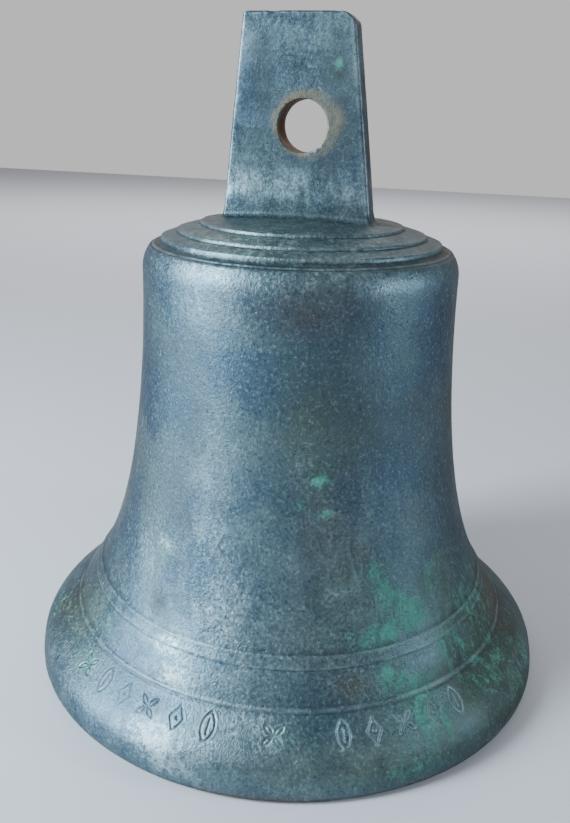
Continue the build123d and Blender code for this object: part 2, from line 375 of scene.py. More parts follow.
def outsideRows(b):
    rows = Rows()
    rows.add([(b["footInner"], 0), ((b["footInner"] + b["lipRadius"] - b["lipRound"]) / 2, 0)])
    start = (b["lipRadius"] - b["lipRound"], 0)
    rows.add([start])
    end = (b["lipRadius"], b["lipRound"])
    rows.add(quarter(start, (b["lipRadius"], 0), end, 6), worn=0.35)
    rows.add(curve(end, (b["lipRadius"], 5.5), (119.4, 8.3), b["lipTop"], 4))
    rows.add(curve(b["lipTop"], (117.6, 14.2), (115.6, 16.5), b["bandFoot"], 8), worn=0.3)
    slope = headingOf(b["bandFoot"], b["lowBead"])
    rows.add(straight(b["bandFoot"], along(b["lowBead"], slope, -2.0), 6))
    flare = headingOf(b["lowBead"], b["waistFoot"])
    addRaisedLine(rows, b["lowBead"], (slope + flare) / 2, b["beadHalfWidth"])
    mouldingFoot = along(b["waistFoot"], flare, -b["mouldingWidth"] - 0.9)
    rows.add(straight(along(b["lowBead"], flare, 1.6), along(mouldingFoot, flare, -0.4), 5))
    for distance, height, worn in b["mouldingShape"]:
        raised = height * b["mouldingHeight"] / b["beadHeight"]
        rows.add([along(mouldingFoot, flare, distance)], raised, worn, 0.8 if height == 0 else 0)
    waistStart = along(b["waistFoot"], flare, 1.3)
    low, high = b["waistPulls"]
    rows.add(curve(waistStart, low, high, b["waistTop"], 60))
    rows.add(rollOver(b["waistTop"], b["shoulderEnd"], 9))
    # a fine groove, a small ridge and a cove run round the shoulder's end
    rows.add([(64.6, 191.85), (64.3, 191.9)], hollow=1.0)
    rows.add([(64.0, 192.25), (63.7, 192.6), (63.3, 192.75)], worn=0.8)
    rows.add([(62.8, 192.65), (62.2, 192.7), (61.6, 192.95), (61.0, 193.3)], hollow=0.7)
    for number, (foot, edge) in enumerate(b["steps"]):
        last = number == len(b["steps"]) - 1
        following = b["steps"][number + 1][0] if not last else None
        rows.add([foot], hollow=1.0)
        rows.add([(foot[0] - 0.12, foot[1] + 0.4)], hollow=0.5)
        rise = edge[1] - foot[1]
        rows.add([(foot[0] - 0.25, foot[1] + 0.62 * rise), (edge[0] + 0.12, edge[1] - 0.16)], worn=0.5)
        rows.add([edge], worn=1.0)
        if not last:
            rows.add([(edge[0] - 0.5, edge[1] + 0.12)], worn=0.6)
            start = (edge[0] - 0.5, edge[1] + 0.12)
            middle = ((start[0] + following[0]) / 2, (start[1] + following[1]) / 2 + 0.25)
            rows.add(curve(start, middle, middle, (following[0] + 0.5, following[1] - 0.05), 5))
            rows.add([(following[0] + 0.2, following[1] - 0.08)], hollow=0.6)
    return rows.rings


def insideRows(b):
    rows = Rows()
    throat, foot = b["innerThroat"], b["innerWaist"][2]
    rows.add(straight((b["footInner"], 0), (98.5, 22.5), 7))
    rows.add(curve((98.5, 22.5), throat, (92.0, 31.2), foot, 6))
    shoulderIn, shoulderOut, shoulderHeight = b["innerShoulder"]
    low, lowPull = b["innerWaist"][1], b["innerWaist"][0]
    rows.add(curve(foot, low, lowPull, (shoulderOut, shoulderHeight), 18))
    rows.add(rollOver((shoulderOut, shoulderHeight), (shoulderIn, b["innerCrown"]), 7))
    rows.add(straight((shoulderIn, b["innerCrown"]), (b["bossRadius"] + 2, b["innerCrown"]), 4))
    rows.add(quarter((b["bossRadius"] + 2, b["innerCrown"]), (b["bossRadius"], b["innerCrown"]),
                     (b["bossRadius"], b["innerCrown"] - 2), 3))
    rows.add(quarter((b["bossRadius"], b["bossFace"] + 1), (b["bossRadius"], b["bossFace"]),
                     (b["bossRadius"] - 1, b["bossFace"]), 3))
    rows.add([(b["boreRadius"] + 0.3, b["bossFace"]), (b["boreRadius"], b["bossFace"] + 0.3)])
    rows.add([(b["boreRadius"], b["boreTop"])])
    return rows.rings


def plateColumns(count, sideColumns=8, cornerColumns=6):
    # which stretch of the tang's outline each column of the bell's skin runs up
    faceColumns = (count - 4 * sideColumns - 4 * cornerColumns) // 2
    outward = (("side", sideColumns), ("corner", cornerColumns), ("face", faceColumns))
    inward = (("corner", cornerColumns), ("side", sideColumns))
    columns = []
    for half in (1, -1):  # the back half of the outline, then the front half
        for kind, steps in outward:
            columns += [(kind, half, half, t / steps) for t in range(steps)]
        for kind, steps in inward:
            columns += [(kind, -half, half, 1 - t / steps) for t in range(steps)]
    return columns


def plateOutline(columns, left, right, half, edgeRound, grow=0.0):
    # a rectangle with round corners, from x = -left to x = right and y = -half to y = half
    points, corners = [], []
    for kind, sideX, sideY, t in columns:
        reach = right if sideX > 0 else left
        across = reach - edgeRound
        deep = half - edgeRound
        if kind == "side":
            x, y, corner = reach + grow, deep * t, max(0, 1 - (1 - t) * deep / 1.2)
        elif kind == "corner":
            angle = t * math.pi / 2
            x = across + (edgeRound + grow) * math.cos(angle)
            y = deep + (edgeRound + grow) * math.sin(angle)
            corner = 1
        else:
            far = left - edgeRound if sideX > 0 else right - edgeRound
            x, y = across - t * (across + far), half + grow
            corner = max(0, 1 - min(t, 1 - t) * (across + far) / 1.5)
        points.append((x * sideX, y * sideY))
        corners.append(corner)
    return np.array(points), np.array(corners)


def tangEnds(t, height):  # how far the tang reaches to the left and right at a height
    share = (height - bell["domeTop"]) / (t["top"] - bell["domeTop"])
    half = t["footHalfWidth"] + (t["topHalfWidth"] - t["footHalfWidth"]) * share
    middle = t["footMiddle"] + (t["topMiddle"] - t["footMiddle"]) * share
    fromTop = t["top"] - height
    cut = max(0.0, t["cutCorner"] - fromTop)
    cut = cut if fromTop > 0.6 else cut + 0.5 * (0.6 - fromTop)
    into = max(0.0, t["squareCorner"] - fromTop)
    squareLoss = t["squareCorner"] - math.sqrt(max(0.0, t["squareCorner"] ** 2 - into ** 2))
    return half - squareLoss - middle, half - cut + middle


def domeHeight(b, radius):
    edgeRadius, edgeHeight = b["domeEdge"]
    return b["domeTop"] + 0.3 - (b["domeTop"] + 0.3 - edgeHeight) * (radius / edgeRadius) ** 2


def ringFaces(ring, count):  # the faces between a ring of points and the next one
    low, high = ring * count, (ring + 1) * count
    return [(low + k, low + (k + 1) % count, high + (k + 1) % count, high + k) for k in range(count)]


def buildBellSkin(b, t):
    count = b["columns"]
    angles = np.arange(count) * 2 * math.pi / count
    circle = np.stack([np.cos(angles), np.sin(angles)], 1)
    columns = plateColumns(count)
    points, masks = [], []

    def plate(left, right, half=t["halfThickness"], grow=0.0):
        return plateOutline(columns, left, right, half, t["edgeRound"], grow)

    def addRing(xy, height, raised=0.0, worn=0.0, hollow=0.0):
        ring = np.zeros((count, 3))
        ring[:, :2] = xy
        ring[:, 2] = height
        points.append(ring)
        row = np.zeros((count, 3))
        row[:, 0], row[:, 1], row[:, 2] = raised, worn, hollow
        masks.append(row)

    for ring in insideRows(b)[::-1] + outsideRows(b):
        radius, height = ring["at"]
        addRing(circle * radius, height, ring["raised"], ring["worn"], ring["hollow"])
    # the crown's top, from its round edge in to the tang's foot
    footLeft, footRight = tangEnds(t, b["domeTop"])
    foot = plate(footLeft, footRight, grow=t["footFillet"])[0]
    rim = circle * (b["domeEdge"][0] - 0.6)
    for share in (0, 0.12, 0.28, 0.46, 0.64, 0.8, 0.92):
        xy = rim + (foot - rim) * share
        addRing(xy, domeHeight(b, np.hypot(xy[:, 0], xy[:, 1])), 0, 0.5 if share == 0 else 0)
    # the fillet at the tang's foot
    for angle in np.radians((0, 22, 45, 68, 90)):
        grow = t["footFillet"] * (1 - math.sin(angle))
        xy = plate(footLeft, footRight, grow=grow)[0]
        base = domeHeight(b, np.hypot(foot[:, 0], foot[:, 1]))
        addRing(xy, base + t["footFillet"] * (1 - math.cos(angle)), 0, 0, 0.5)
    lowest = points[-1][:, 2]
    topStart = t["top"] - t["edgeRound"]
    for share in np.linspace(0, 1, t["rows"] + 1)[1:]:
        share = 1 - (1 - share) ** 1.15
        heights = lowest + (topStart - lowest) * share
        left, right = tangEnds(t, float(heights.mean()))
        xy, corners = plate(left, right)
        addRing(xy, heights, 0, corners)
    for angle in np.radians((18, 36, 54, 72, 90)):
        inset = t["edgeRound"] * (1 - math.cos(angle))
        height = topStart + t["edgeRound"] * math.sin(angle)
        left, right = tangEnds(t, height)
        xy = plate(left, right, grow=-inset * 0.98)[0]
        addRing(xy, height, 0, 0.9)
    for inset in (2.6, 4.0):
        left, right = tangEnds(t, t["top"])
        shrink = inset - t["edgeRound"]
        thin = t["halfThickness"] - shrink - 0.001
        xy = plate(left - shrink, right - shrink, thin, -t["edgeRound"] * 0.98)[0]
        addRing(xy, t["top"], 0, 0.2)

    rings = len(points)
    points = np.concatenate(points)
    masks = np.concatenate(masks)
    faces = []
    for ring in range(rings - 1):
        faces += ringFaces(ring, count)
    lastRing = (rings - 1) * count
    half = count // 2
    for k in range(half):  # close the tang's top from the back edge across to the front edge
        a, c = k, k + 1
        mirrorA, mirrorC = (count - a) % count, (count - c) % count
        quad = [lastRing + a, lastRing + c, lastRing + mirrorC, lastRing + mirrorA]
        quad = list(dict.fromkeys(quad))
        if len(quad) > 2:
            faces.append(tuple(quad))
    faces.append(tuple(reversed(range(count))))  # the blind end of the tapped hole
    mesh = bpy.data.meshes.new("bellSkin")
    mesh.from_pydata((points * mm).tolist(), [], faces)
    mesh.validate()
    for index, name in enumerate(("raised", "worn", "hollow")):
        writeMask(mesh, name, masks[:, index])
    return mesh


# The band above the lip carries a run of stamps: leaves, lozenges and four petals.
ornament = {
    "from": -54.0,  # headings, counted from the show side
    "to": 43.5,
    "lowEdge": (113.0, 18.8),
    "highEdge": (103.3, 27.5),
    "groups": "qlgqgl.q.lgqgl",  # l leaf, g lozenge, q four petals, . a space
    "size": 0.80,
    "drop": 1.1,  # below the middle of the band
    "strokeHalfWidth": 0.55,
    "depth": 0.42,
    "lipHeight": 0.10,
    "cuts": 6,
}


def strokeDistance(kind, x, y):
    # distance in millimetres to the nearest stroke of one stamp, whose box is about 10 by 13
    if kind == "l":
        arc = 9.2
        left = np.hypot(x - 5.9, y) - arc
        right = np.hypot(x + 5.9, y) - arc
        outline = np.abs(np.maximum(left, right))
        vein = np.where(np.abs(y) < 3.4, np.abs(x), np.hypot(x, np.abs(y) - 3.4))
        return np.minimum(outline, vein)
    if kind == "g":
        wide, tall = 3.8, 6.2
        outline = np.abs(np.abs(x) * tall + np.abs(y) * wide - wide * tall) / math.hypot(wide, tall)
        return np.minimum(outline, np.maximum(np.hypot(x, y) - 0.5, 0))
    petals = []
    for turn in range(4):
        angle = math.radians(45 + 90 * turn)
        out = x * math.cos(angle) + y * math.sin(angle)
        side = y * math.cos(angle) - x * math.sin(angle)
        left = np.hypot(out - 3.6, side - 3.0) - 4.1
        right = np.hypot(out - 3.6, side + 3.0) - 4.1
        petals.append(np.abs(np.maximum(left, right)))
    petals.append(np.maximum(np.hypot(x, y) - 0.45, 0))
    return np.minimum.reduce(petals)


def ornamentDepth(o, points):
    (lowRadius, lowHeight), (highRadius, highHeight) = o["lowEdge"], o["highEdge"]
    slant = math.hypot(lowRadius - highRadius, highHeight - lowHeight)
    middleRadius = (lowRadius + highRadius) / 2
    heading = fromShowSide(points)
    across = np.radians(heading - o["from"]) * middleRadius
    up = ((points[:, 2] - lowHeight) / (highHeight - lowHeight) - 0.5) * slant
    radius = np.hypot(points[:, 0], points[:, 1])
    onBand = (np.abs(up) < slant * 0.62) & (radius > 101)
    onBand &= (heading > o["from"] - 6) & (heading < o["to"] + 6)
    depth = np.zeros(len(points))
    stroke = np.zeros(len(points))
    spacing = math.radians(o["to"] - o["from"]) * middleRadius / len(o["groups"])
    for number, kind in enumerate(o["groups"]):
        if kind == ".":
            continue
        tilt = math.radians(3.0 * math.sin(number * 2.4))  # each stamp was set by hand
        x = across - (number + 0.5) * spacing - 0.5 * math.sin(number * 1.7)
        y = up + o["drop"] - 0.35 * math.sin(number * 3.1)
        near = onBand & (np.abs(x) < 7.5)
        px = x[near] * math.cos(tilt) + y[near] * math.sin(tilt)
        py = y[near] * math.cos(tilt) - x[near] * math.sin(tilt)
        distance = strokeDistance(kind, px / o["size"], py / o["size"]) * o["size"]
        pressed = 0.8 + 0.25 * math.sin(number * 5.3)
        groove = 1 - smoothStep(0.1, o["strokeHalfWidth"], distance)
        burr = np.exp(-((distance - o["strokeHalfWidth"] - 0.3) / 0.28) ** 2)
        depth[near] += (burr * o["lipHeight"] - groove * o["depth"]) * pressed
        stroke[near] = np.maximum(stroke[near], groove)
    return depth, stroke


def refineBand(mesh, b, o):
    # only the stamped stretch of the band is cut fine enough for its strokes
    skin = bmesh.new()
    skin.from_mesh(mesh)
    chosen = []
    for face in skin.faces:
        middle = face.calc_center_median() / mm
        radius = math.hypot(middle.x, middle.y)
        heading = (math.degrees(math.atan2(middle.y, middle.x)) - facing + 180) % 360 - 180
        onBand = b["bandFoot"][1] - 0.1 < middle.z < b["lowBead"][1] - 1.3 and radius > 101.5
        if onBand and o["from"] - 2 < heading < o["to"] + 2:
            chosen.append(face)
    edges = list({edge for face in chosen for edge in face.edges})
    bmesh.ops.subdivide_edges(skin, edges=edges, cuts=o["cuts"], use_grid_fill=True)
    skin.to_mesh(mesh)
    skin.free()
    points = readPoints(mesh)
    radius = np.hypot(points[:, 0], points[:, 1])
    (r0, z0), (r1, z1) = b["bandFoot"], b["lowBead"]
    onLine = r0 + (points[:, 2] - z0) / (z1 - z0) * (r1 - r0)
    onBand = (points[:, 2] > z0 - 0.05) & (points[:, 2] < z1 - 1.2) & (radius > 101.5)
    points[onBand, :2] *= (onLine[onBand] / radius[onBand])[:, None]
    writePoints(mesh, points)


def weather(mesh, b, t, o):
    # moves the skin in and out: raised lines, stamps, casting waves, dents and worn edges
    points = readPoints(mesh)
    normals = readNormals(mesh)
    raised, worn, hollow = (readMask(mesh, name) for name in ("raised", "worn", "hollow"))
    slow = bumpy(points, 46, 2, 1)
    middle = bumpy(points, 12, 3, 2)
    fine = bumpy(points, 4.2, 2, 3)
    lineWear = np.clip(0.72 + 0.9 * bumpy(points * (1, 1, 0.2), 26, 3, 4), 0.12, 1.15)
    move = raised * b["beadHeight"] * lineWear
    move += b["waviness"] * slow + b["dimples"] * middle + b["fineGrain"] * fine
    dents = np.clip(middle - 0.34, 0, 1) * worn
    move -= b["dentDepth"] * dents
    stamps, stroke = ornamentDepth(o, points)
    move += stamps * np.clip(0.85 + 0.8 * bumpy(points, 18, 2, 5), 0.35, 1.1)
    resting = points[:, 2] < 0.4
    move[resting] = 0
    radius = np.hypot(points[:, 0], points[:, 1])
    inBore = (radius < b["bossRadius"] + 1) & (points[:, 2] < b["boreTop"] + 0.5) & (points[:, 2] > 150)
    move[inBore] = 0
    onTang = points[:, 2] > b["domeTop"] + 4
    move[onTang] *= 0.75
    points += normals * move[:, None]
    outermost = np.hypot(points[:, 0], points[:, 1])
    scale = np.minimum(1, b["lipRadius"] / np.maximum(outermost, 1e-6))
    points[:, :2] *= scale[:, None]
    points[:, 2] = np.clip(points[:, 2], 0, t["top"])
    writePoints(mesh, points)
    # the stamps' strokes are darker on the left of the show side, and hold pale patina on the right
    heading = fromShowSide(points)
    toRight = smoothStep(-12, 6, heading)
    writeMask(mesh, "hollow", np.maximum(hollow, stroke * (0.75 - 0.55 * toRight)))
    writeMask(mesh, "filled", stroke * toRight)
    edgeOfStroke = np.clip(stamps / o["lipHeight"], 0, 1)
    writeMask(mesh, "worn", np.maximum(worn, edgeOfStroke * 0.5))


def holeCutter(t, count=96):
    # a round bar that flares where it leaves the plate, so that the hole's edges come out broken
    half, edge, radius = t["halfThickness"], t["holeEdge"], t["holeRadius"]
    outline = [(radius, 0), (radius, half - edge)]
    outline += quarter((radius, half - edge), (radius, half), (radius + edge, half), 5)
    outline += [(radius + edge + 1.2, half + 1.2), (radius + edge + 1.2, half + 3)]
    outline = [(r, -y) for r, y in reversed(outline[1:])] + outline
    points, faces = [], []
    for r, y in outline:
        for k in range(count):
            angle = 2 * math.pi * k / count
            wobble = 1 + 0.008 * noise.noise(Vector((math.cos(angle), math.sin(angle), y * 0.1)) * 2.1)
            points.append((r * wobble * math.cos(angle) * mm, y * mm,
                           (t["holeHeight"] + r * wobble * math.sin(angle)) * mm))
    rings = len(outline)
    for ring in range(rings - 1):
        faces += ringFaces(ring, count)
    faces.append(tuple(reversed(range(count))))
    faces.append(tuple((rings - 1) * count + k for k in range(count)))
    mesh = bpy.data.meshes.new("holeCutter")
    mesh.from_pydata(points, [], faces)
    fixer = bmesh.new()
    fixer.from_mesh(mesh)
    bmesh.ops.recalc_face_normals(fixer, faces=fixer.faces)
    fixer.to_mesh(mesh)
    fixer.free()
    return mesh


# Stains on the casting, with painted reflection in the brown group and painted shade in the dull group: heading
# from the show side, height, spread sideways and up, strength.
stains = {
    "green": (
        (8.5, 113.0, 3.0, 2.4, 2.0), (2.5, 102.6, 1.9, 1.6, 1.2), (10.0, 99.0, 3.2, 1.7, 0.75),
        (25.5, 74.0, 4.0, 5.0, 0.85), (28.5, 67.0, 5.0, 6.0, 0.8), (32.0, 60.0, 7.0, 5.0, 0.9),
        (36.5, 52.5, 6.5, 4.5, 0.95), (20.0, 50.0, 10.0, 4.0, 0.8), (26.5, 51.0, 5.0, 4.5, 0.7),
        (26.0, 36.0, 7.0, 5.0, 0.75), (33.0, 30.0, 9.0, 4.0, 0.9), (30.5, 23.0, 6.0, 5.0, 0.6),
        (33.0, 19.0, 10.0, 4.0, 0.7), (48.0, 40.0, 18.0, 9.0, 0.6), (59.0, 25.0, 16.0, 8.0, 0.6),
        (26.0, 9.0, 30.0, 6.0, 0.55), (70.0, 14.0, 26.0, 8.0, 0.5), (44.0, 66.0, 8.0, 12.0, 0.5),
        (-54.5, 35.5, 6.0, 4.0, 0.75), (-51.0, 24.0, 8.0, 5.0, 0.5), (-78.0, 23.0, 14.0, 9.0, 0.55),
        (-40.5, 77.0, 4.5, 6.0, 0.7), (-30.0, 41.0, 9.0, 3.0, 0.5), (120.0, 60.0, 24.0, 18.0, 0.7),
        (165.0, 24.0, 40.0, 12.0, 0.6), (-140.0, 95.0, 14.0, 20.0, 0.55), (-110.0, 40.0, 26.0, 10.0, 0.55),
        (4.0, 22.0, 12.0, 6.0, 0.35), (-20.0, 196.0, 20.0, 3.0, 0.4), (40.0, 24.0, 40.0, 16.0, 0.22),
        (33.0, 60.0, 14.0, 20.0, 0.2), (66.0, 50.0, 16.0, 12.0, 0.5),
    ),
    "pale": (
        (-26.0, 15.0, 17.0, 6.0, 0.7), (-20.0, 8.0, 18.0, 5.0, 0.6), (-44.0, 8.0, 18.0, 7.0, 0.35),
        (-30.5, 41.0, 9.0, 4.0, 0.8), (-27.5, 32.0, 8.0, 3.5, 0.8), (-40.5, 77.0, 5.0, 4.0, 0.8),
        (-18.0, 60.0, 11.0, 16.0, 0.55), (-23.5, 85.0, 9.0, 10.0, 0.5), (-26.5, 113.0, 10.0, 16.0, 0.4),
        (-33.0, 176.0, 15.0, 12.0, 0.3), (-50.0, 70.0, 10.0, 16.0, 0.35), (12.0, 67.0, 4.0, 2.0, 0.5),
        (-6.0, 26.0, 14.0, 6.0, 0.35), (30.0, 184.0, 9.0, 5.0, 0.25), (6.0, 8.0, 24.0, 5.0, 0.3),
        (150.0, 150.0, 30.0, 26.0, 0.45), (-150.0, 40.0, 34.0, 20.0, 0.5), (-10.0, 50.0, 70.0, 46.0, 0.24),
        (20.0, 96.0, 40.0, 26.0, 0.14), (-40.0, 190.0, 16.0, 4.0, 0.3), (0.0, 199.0, 70.0, 5.0, 0.6),
        (0.0, 190.0, 70.0, 7.0, 0.35),
    ),
    # the broad brown patches near headings 76 to 88 on either side, along the outline seen from the show side, are
    # a painted reflection of a warm room
    "brownAndRoomReflection": (
        (84.0, 130.0, 24.0, 46.0, 0.45), (76.0, 30.0, 22.0, 20.0, 0.5), (-88.0, 105.0, 22.0, 40.0, 0.35),
        (2.0, 178.0, 24.0, 9.0, 0.6), (10.0, 96.0, 10.0, 16.0, 0.4), (-5.0, 1.0, 26.0, 2.4, 1.6),
        (34.0, 1.0, 30.0, 2.0, 1.0),
        (-76.0, 26.0, 12.0, 9.0, 0.8), (15.5, 35.5, 7.0, 4.0, 0.7), (21.5, 83.5, 5.0, 5.0, 0.5),
        (-178.0, 90.0, 40.0, 60.0, 0.4), (60.0, 2.0, 40.0, 2.5, 0.7),
    ),
    "olive": (
        (6.0, 130.0, 22.0, 34.0, 0.75), (12.0, 60.0, 22.0, 26.0, 0.6), (56.0, 20.0, 50.0, 22.0, 1.4),
        (52.0, 62.0, 26.0, 26.0, 0.6), (10.0, 12.0, 40.0, 10.0, 0.7), (-66.0, 30.0, 22.0, 14.0, 0.8),
        (0.0, 198.0, 70.0, 9.0, 0.55), (-50.0, 90.0, 12.0, 20.0, 0.4), (160.0, 120.0, 60.0, 50.0, 0.6),
    ),
    # the broad dull patches at headings 20 to 70, on the side turned away from the window lamp, are painted shade;
    # the rest darken and dull the surface in patches
    "dullAndShade": (
        (70.0, 110.0, 40.0, 100.0, 0.85), (66.0, 18.0, 60.0, 34.0, 1.15), (30.0, 80.0, 30.0, 30.0, 0.3),
        (20.0, 140.0, 30.0, 34.0, 0.35), (-44.0, 160.0, 16.0, 8.0, 0.4), (-21.5, 58.0, 4.0, 3.4, 0.5),
        (-38.0, 54.0, 5.0, 5.0, 0.5), (-24.5, 97.0, 2.6, 2.4, 0.5), (40.0, 12.0, 40.0, 12.0, 0.4),
        (-36.0, 96.0, 15.0, 60.0, 0.75), (-34.0, 20.0, 22.0, 12.0, 0.3),
    ),
}


def normalOutward(mesh, points):  # above 0 where the skin faces away from the bell's axis or up
    normals = readNormals(mesh)
    radius = np.maximum(np.hypot(points[:, 0], points[:, 1]), 1e-6)
    outward = (normals[:, 0] * points[:, 0] + normals[:, 1] * points[:, 1]) / radius
    return np.maximum(outward, normals[:, 2]) * 4


def stainMasks(mesh, b):
    points = readPoints(mesh)
    heading = fromShowSide(points)
    radius = np.hypot(points[:, 0], points[:, 1])
    height = points[:, 2]
    onCrown = smoothStep(b["domeTop"] - 16, b["domeTop"] - 12, height)
    outside = np.maximum(smoothStep(56, 60, radius), onCrown) * smoothStep(-2, 0, height)
    for name, spots in stains.items():
        total = np.zeros(len(points))
        for spotHeading, spotHeight, wide, tall, strength in spots:
            sideways = np.radians((heading - spotHeading + 180) % 360 - 180) * radius
            total += strength * np.exp(-(sideways / wide) ** 2 - ((height - spotHeight) / tall) ** 2)
        total *= 1.0 + 0.5 * bumpy(points, 22, 2, 6)
        writeMask(mesh, name, total * outside)
    inward = 1 - smoothStep(0.0, 1.0, normalOutward(mesh, points))
    writeMask(mesh, "inside", inward * (height < b["bossFace"] + 6) * (radius < b["footInner"] + 1))


def plateMasks(mesh, b, t):
    # the tang: dull patches, pale bloom high and low, a tiny green spot, a rubbed ring round the hole
    points = readPoints(mesh)
    across, height = points[:, 0], points[:, 2]
    onTang = smoothStep(b["domeTop"], b["domeTop"] + 2, height)
    writeMask(mesh, "plate", onTang)
    dullAndShade = np.zeros(len(points))
    for x, z, wide, tall, strength in t["dullPatches"]:
        dullAndShade += strength * np.exp(-((across - x) / wide) ** 2 - ((height - z) / tall) ** 2)
    dullAndShade *= onTang * (1 + 0.5 * bumpy(points, 9, 2, 9))
    writeMask(mesh, "dullAndShade", readMask(mesh, "dullAndShade") + dullAndShade)
    pale = readMask(mesh, "pale")
    for z, tall, strength, noiseSize, seed in t["paleBands"]:
        band = np.exp(-((height - z) / tall) ** 2) * (0.7 + 0.6 * bumpy(points, noiseSize, 2, seed))
        pale = pale + strength * band * onTang
    writeMask(mesh, "pale", pale)
    x, z, wide, tall, strength = t["greenSpeck"]
    speck = np.exp(-((across - x) / wide) ** 2 - ((height - z) / tall) ** 2) * onTang
    writeMask(mesh, "green", readMask(mesh, "green") + strength * speck)
    fromEdge = np.hypot(across, height - t["holeHeight"]) - t["holeRadius"]
    around = np.arctan2(height - t["holeHeight"], across)
    ringWidth = 3.4 + 2.0 * np.cos(around - 0.3) + 0.9 * np.cos(2 * around) + 1.6 * bumpy(points, 8, 2, 7)
    ringWidth = np.maximum(ringWidth, 0.6)
    writeMask(mesh, "rubbed", (1 - smoothStep(ringWidth * 0.7, ringWidth * 1.35, fromEdge)) * onTang)
    inBolt = (1 - smoothStep(0.1, 0.5, fromEdge)) * onTang
    writeMask(mesh, "boltWall", inBolt * (np.abs(points[:, 1]) < t["halfThickness"] - t["holeEdge"]))


def makeBell(b, t, o):
    mesh = buildBellSkin(b, t)
    refineBand(mesh, b, o)
    weather(mesh, b, t, o)
    casting = addObject("bellCasting", mesh)
    combine(casting, holeCutter(t), "DIFFERENCE")
    mesh = casting.data
    mesh.shade_smooth()
    stainMasks(mesh, b)
    plateMasks(mesh, b, t)
    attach(casting, "bell")
    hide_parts("bell_casting", "hanging_tang")
    print("stage: the bell has", len(mesh.polygons), "faces")
    return casting


bellCasting = makeBell(bell, tang, ornament)


# The clapper and its fork, forged and turned by hand.

def lathe(outline, columns, closed=False, wobble=0.0, seed=0):
    # turns (radius, height) points round the Z axis; the profile closes on itself or on the axis
    body = bmesh.new()
    rings = []
    for number, (radius, height) in enumerate(outline):
        ring = []
        for k in range(columns):
            angle = 2 * math.pi * k / columns
            uneven = noise.noise(Vector((math.cos(angle), math.sin(angle), height / 9 + seed * 7.1)) * 1.6)
            reach = radius + wobble * uneven
            ring.append(body.verts.new((reach * math.cos(angle) * mm, reach * math.sin(angle) * mm,
                                        height * mm)))
        rings.append(ring)
    pairs = list(zip(rings, rings[1:]))
    if closed:
        pairs.append((rings[-1], rings[0]))
    for low, high in pairs:
        for k in range(columns):
            following = (k + 1) % columns
            body.faces.new((low[k], low[following], high[following], high[k]))
    if not closed:
        body.faces.new(list(reversed(rings[0])))
        body.faces.new(rings[-1])
    bmesh.ops.recalc_face_normals(body, faces=body.faces)
    mesh = bpy.data.meshes.new("turned")
    body.to_mesh(mesh)
    body.free()
    return mesh


def roundBar(radius, start, end, edge=0.0, columns=64, axis="Z", middle=(0, 0)):
    # a bar with broken ends along an axis; middle is its (x, y) or, along Y, its (x, z)
    outline = [(radius - edge, start), (radius, start + edge), (radius, end - edge), (radius - edge, end)]
    if edge == 0:
        outline = [(radius, start), (radius, end)]
    mesh = lathe(outline, columns)
    if axis == "Y":
        mesh.transform(Matrix.Rotation(math.radians(-90), 4, "X"))
        mesh.transform(Matrix.Translation(Vector((middle[0], 0, middle[1])) * mm))
    else:
        mesh.transform(Matrix.Translation(Vector((middle[0], middle[1], 0)) * mm))
    return mesh


def block(low, high):
    body = bmesh.new()
    bmesh.ops.create_cube(body, size=1)
    for vertex in body.verts:
        for axis in range(3):
            vertex.co[axis] = (low[axis] if vertex.co[axis] < 0 else high[axis]) * mm
    mesh = bpy.data.meshes.new("block")
    body.to_mesh(mesh)
    body.free()
    return mesh


def forge(thing, voxel, soften, dents, dentSize, seed):
    # fine even faces, softened corners, and the shallow marks of a hammer
    remesh = thing.modifiers.new("even", "REMESH")
    remesh.mode = "VOXEL"
    remesh.voxel_size = voxel * mm
    smooth = thing.modifiers.new("soften", "SMOOTH")
    smooth.factor = 0.5
    smooth.iterations = soften
    mesh = applyModifiers(thing)
    points, normals = readPoints(mesh), readNormals(mesh)
    marks = bumpy(points, dentSize, 2, seed) * dents + bumpy(points, 1.6, 2, seed + 1) * 0.02
    writePoints(mesh, points + normals * marks[:, None])
    return mesh


def finishPiece(thing, body, replaced):
    thing.data.shade_smooth()
    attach(thing, body)
    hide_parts(replaced)
    print("stage:", thing.name, "has", len(thing.data.polygons), "faces")
    return thing


pivotHeight = joints["clapper_swing"]["pos_m"][2] / mm

clevis = {
    "shankRadius": 4.95,
    "shankTop": 200.0,
    "threadPitch": 1.5,
    "threadDepth": 0.45,
    "forkHalfWidth": 9.4,
    "earRadius": 8.4,
    "bridgeTop": 179.0,
    "bridgeFoot": 174.0,
    "slotHalfWidth": 4.5,
    "holeRadius": 4.12,
}


